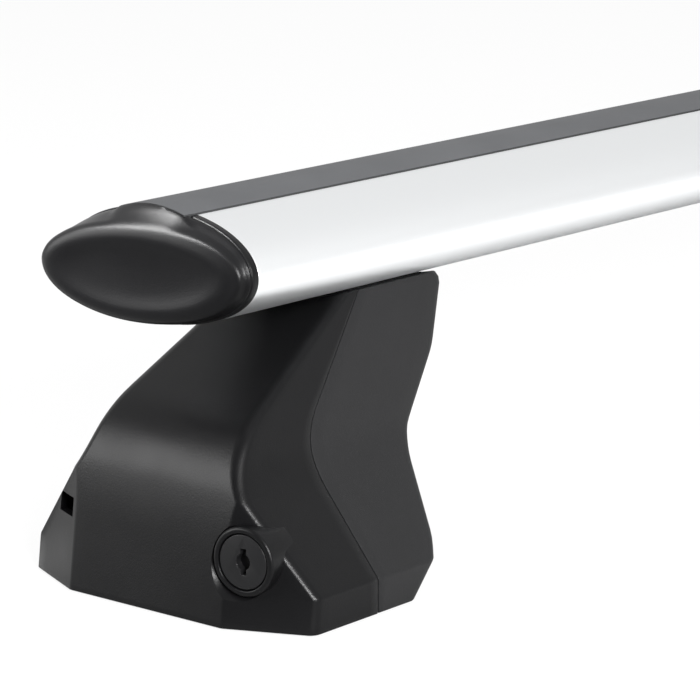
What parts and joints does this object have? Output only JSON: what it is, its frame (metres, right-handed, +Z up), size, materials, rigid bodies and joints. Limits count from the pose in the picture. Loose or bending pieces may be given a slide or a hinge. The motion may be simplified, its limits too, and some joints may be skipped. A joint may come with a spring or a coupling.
{
  "type": "roof rack crossbar",
  "caption": "Aerodynamic aluminium roof rack crossbar with a rubber strip, swept end caps and lockable clamped feet in black plastic.",
  "frame": {"origin": "midway between the two feet, on the surface they stand on", "axes": "+X along the bar, +Y along its chord towards the trailing edge, +Z up from the roof"},
  "size_m": [1.188, 0.1166, 0.1256],
  "materials": {
    "anodised_aluminium": "satin anodised extrusion with fine lengthwise lines",
    "strip_rubber": "matte extruded EPDM",
    "cap_plastic": "fine grained moulded plastic",
    "cover_plastic": "fine grained moulded ABS",
    "body_plastic": "fine grained moulded glass filled nylon",
    "bracket_steel": "black powder coated pressed steel",
    "pad_rubber": "matte moulded rubber",
    "zinc_steel": "bright zinc plated steel",
    "lock_face": "satin black die casting"
  },
  "bodies": {
    "bar": {"bar": "anodised_aluminium", "rubber_strip": "strip_rubber", "left_end_cap": "cap_plastic", "right_end_cap": "cap_plastic"},
    "left_foot": {"left_rear_body": "body_plastic", "left_tower_bracket": "bracket_steel", "left_base_pad": "pad_rubber", "left_saddle_pad": "pad_rubber", "left_slot_plate": "zinc_steel", "left_clamp_washer": "zinc_steel", "left_body_screws": "zinc_steel"},
    "left_cover": {"left_front_cover": "cover_plastic"},
    "left_lock": {"left_lock_plug": "lock_face", "left_lock_cam": "zinc_steel", "left_cam_screw": "zinc_steel", "left_lock_clip": "zinc_steel"},
    "left_bolt": {"left_clamp_bolt": "zinc_steel"},
    "right_foot": {"right_rear_body": "body_plastic", "right_tower_bracket": "bracket_steel", "right_base_pad": "pad_rubber", "right_saddle_pad": "pad_rubber", "right_slot_plate": "zinc_steel", "right_clamp_washer": "zinc_steel", "right_body_screws": "zinc_steel"},
    "right_cover": {"right_front_cover": "cover_plastic"},
    "right_lock": {"right_lock_plug": "lock_face", "right_lock_cam": "zinc_steel", "right_cam_screw": "zinc_steel", "right_lock_clip": "zinc_steel"},
    "right_bolt": {"right_clamp_bolt": "zinc_steel"}
  },
  "joints": [
    {"name": "left_foot_slide", "type": "slide", "parent": "bar", "child": "left_foot", "axis": [1, 0, 0], "range_m": [-0.02, 0.2]},
    {"name": "left_cover_pull", "type": "slide", "parent": "left_foot", "child": "left_cover", "axis": [-1, 0, 0], "range_m": [0, 0.06]},
    {"name": "left_lock_turn", "type": "hinge", "parent": "left_cover", "child": "left_lock", "pos_m": [-0.5868, -0.0382, 0.0218], "axis": [0.9925, 0.1219, 0], "range_deg": [0, 90]},
    {"name": "left_bolt_turn", "type": "hinge", "parent": "left_foot", "child": "left_bolt", "pos_m": [-0.4988, 0, 0.08], "axis": [0, 0, 1], "continuous": true},
    {"name": "right_foot_slide", "type": "slide", "parent": "bar", "child": "right_foot", "axis": [-1, 0, 0], "range_m": [-0.02, 0.2]},
    {"name": "right_cover_pull", "type": "slide", "parent": "right_foot", "child": "right_cover", "axis": [1, 0, 0], "range_m": [0, 0.06]},
    {"name": "right_lock_turn", "type": "hinge", "parent": "right_cover", "child": "right_lock", "pos_m": [0.5868, 0.0382, 0.0218], "axis": [-0.9925, -0.1219, 0], "range_deg": [0, 90]},
    {"name": "right_bolt_turn", "type": "hinge", "parent": "right_foot", "child": "right_bolt", "pos_m": [0.4988, 0, 0.08], "axis": [0, 0, 1], "continuous": true}
  ]
}
